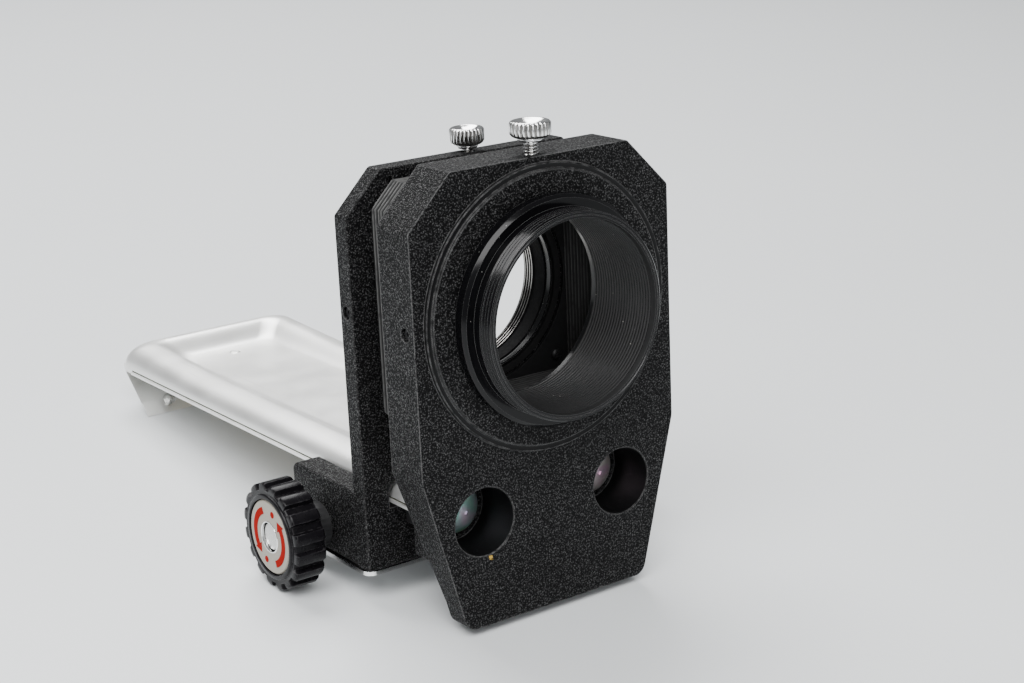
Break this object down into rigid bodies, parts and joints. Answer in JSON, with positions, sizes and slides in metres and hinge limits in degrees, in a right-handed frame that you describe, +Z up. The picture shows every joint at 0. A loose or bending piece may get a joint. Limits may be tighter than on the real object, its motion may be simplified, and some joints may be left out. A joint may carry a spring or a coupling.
{
  "type": "close-up bellows unit",
  "caption": "Close-up bellows for cameras: lens standard, square bellows, a camera standard on a saddle that a rack and pinion moves along an aluminium rail, with a clamp knob.",
  "frame": {"origin": "under the middle of the object, level with the front standard's foot, rail level", "axes": "+Y along the rail and optical axis from the lens end to the camera end, +X to the drive knob, +Z up"},
  "size_m": [0.106, 0.1972, 0.1208],
  "materials": {
    "crackle_black": "crackle",
    "gloss_black": "gloss anodised",
    "satin_aluminium": "satin",
    "chrome": "polished",
    "zinc_plate": "iridescent zinc plate",
    "steel": "plain",
    "brass": "brass",
    "bellows_cloth": "matte coated cloth",
    "knob_plastic": "moulded",
    "label_grey": "satin printed disc",
    "nylon": "plain",
    "blackened_tin": "blackened"
  },
  "bodies": {
    "rail": {"rail": "satin_aluminium", "rack": "brass", "rack_rivet_front": "satin_aluminium", "rack_rivet_rear": "satin_aluminium", "end_block": "blackened_tin", "block_screw_left": "steel", "block_screw_right": "steel", "stop_screw_left": "steel", "stop_screw_right": "steel", "standard_screw_left": "zinc_plate", "standard_screw_right": "zinc_plate", "front_standard": "crackle_black", "lens_ring": "gloss_black", "front_side_grub": "blackened_tin", "bellows_front_frame": "blackened_tin", "front_frame_screw_1": "blackened_tin", "front_frame_screw_2": "blackened_tin", "front_frame_screw_3": "blackened_tin", "front_frame_screw_4": "blackened_tin", "bellows": "bellows_cloth"},
    "carriage": {"rear_standard": "crackle_black", "camera_ring": "gloss_black", "bellows_rear_frame": "blackened_tin", "rear_frame_screw_1": "blackened_tin", "rear_frame_screw_2": "blackened_tin", "rear_frame_screw_3": "blackened_tin", "rear_frame_screw_4": "blackened_tin", "rear_side_grub": "blackened_tin", "bottom_plate": "chrome", "plate_screw_1": "steel", "plate_screw_2": "steel", "plate_screw_3": "steel", "plate_screw_4": "steel", "tripod_bush": "steel", "guide_pad_left": "nylon", "guide_pad_right": "nylon", "shaft_bush_left": "brass", "shaft_bush_right": "brass"},
    "drive": {"drive_shaft": "steel", "pinion": "brass", "drive_knob": "knob_plastic", "drive_disc": "label_grey", "shaft_ring_left": "steel", "shaft_ring_right": "steel"},
    "clamp_collar": {"clamp_collar": "blackened_tin"},
    "clamp_knob": {"clamp_knob": "knob_plastic", "clamp_disc": "label_grey"},
    "front_thumb_shank": {"front_thumb_shank": "chrome"},
    "front_thumb_head": {"front_thumb_head": "chrome"},
    "rear_thumb_shank": {"rear_thumb_shank": "chrome"},
    "rear_thumb_head": {"rear_thumb_head": "chrome"}
  },
  "joints": [
    {"name": "rear_slide", "type": "slide", "parent": "rail", "child": "carriage", "axis": [0, 1, 0], "range_m": [0, 0.105], "deforming": ["bellows"]},
    {"name": "drive_turn", "type": "hinge", "parent": "carriage", "child": "drive", "pos_m": [0, -0.0363, 0.01657], "axis": [1, 0, 0], "range_deg": [0, 1003]},
    {"name": "clamp_travel", "type": "slide", "parent": "drive", "child": "clamp_collar", "axis": [-1, 0, 0], "range_m": [0, 0.0008]},
    {"name": "clamp_turn", "type": "hinge", "parent": "clamp_collar", "child": "clamp_knob", "pos_m": [-0.0438, -0.0363, 0.01657], "axis": [-1, 0, 0], "range_deg": [0, 360]},
    {"name": "front_thumb_travel", "type": "slide", "parent": "rail", "child": "front_thumb_shank", "axis": [0, 0, 1], "range_m": [0, 0.0025]},
    {"name": "front_thumb_turn", "type": "hinge", "parent": "front_thumb_shank", "child": "front_thumb_head", "pos_m": [0, -0.0826, 0.1168], "axis": [0, 0, 1], "range_deg": [0, 1286]},
    {"name": "rear_thumb_travel", "type": "slide", "parent": "carriage", "child": "rear_thumb_shank", "axis": [0, 0, 1], "range_m": [0, 0.002]},
    {"name": "rear_thumb_turn", "type": "hinge", "parent": "rear_thumb_shank", "child": "rear_thumb_head", "pos_m": [0, -0.05609, 0.11185], "axis": [0, 0, 1], "range_deg": [0, 1029]}
  ],
  "couplings": [
    {"joint": "drive_turn", "follows": "rear_slide", "rad_per_m": 166.67},
    {"joint": "clamp_turn", "follows": "clamp_travel", "rad_per_m": 7854},
    {"joint": "front_thumb_turn", "follows": "front_thumb_travel", "rad_per_m": 8976},
    {"joint": "rear_thumb_turn", "follows": "rear_thumb_travel", "rad_per_m": 8976}
  ]
}
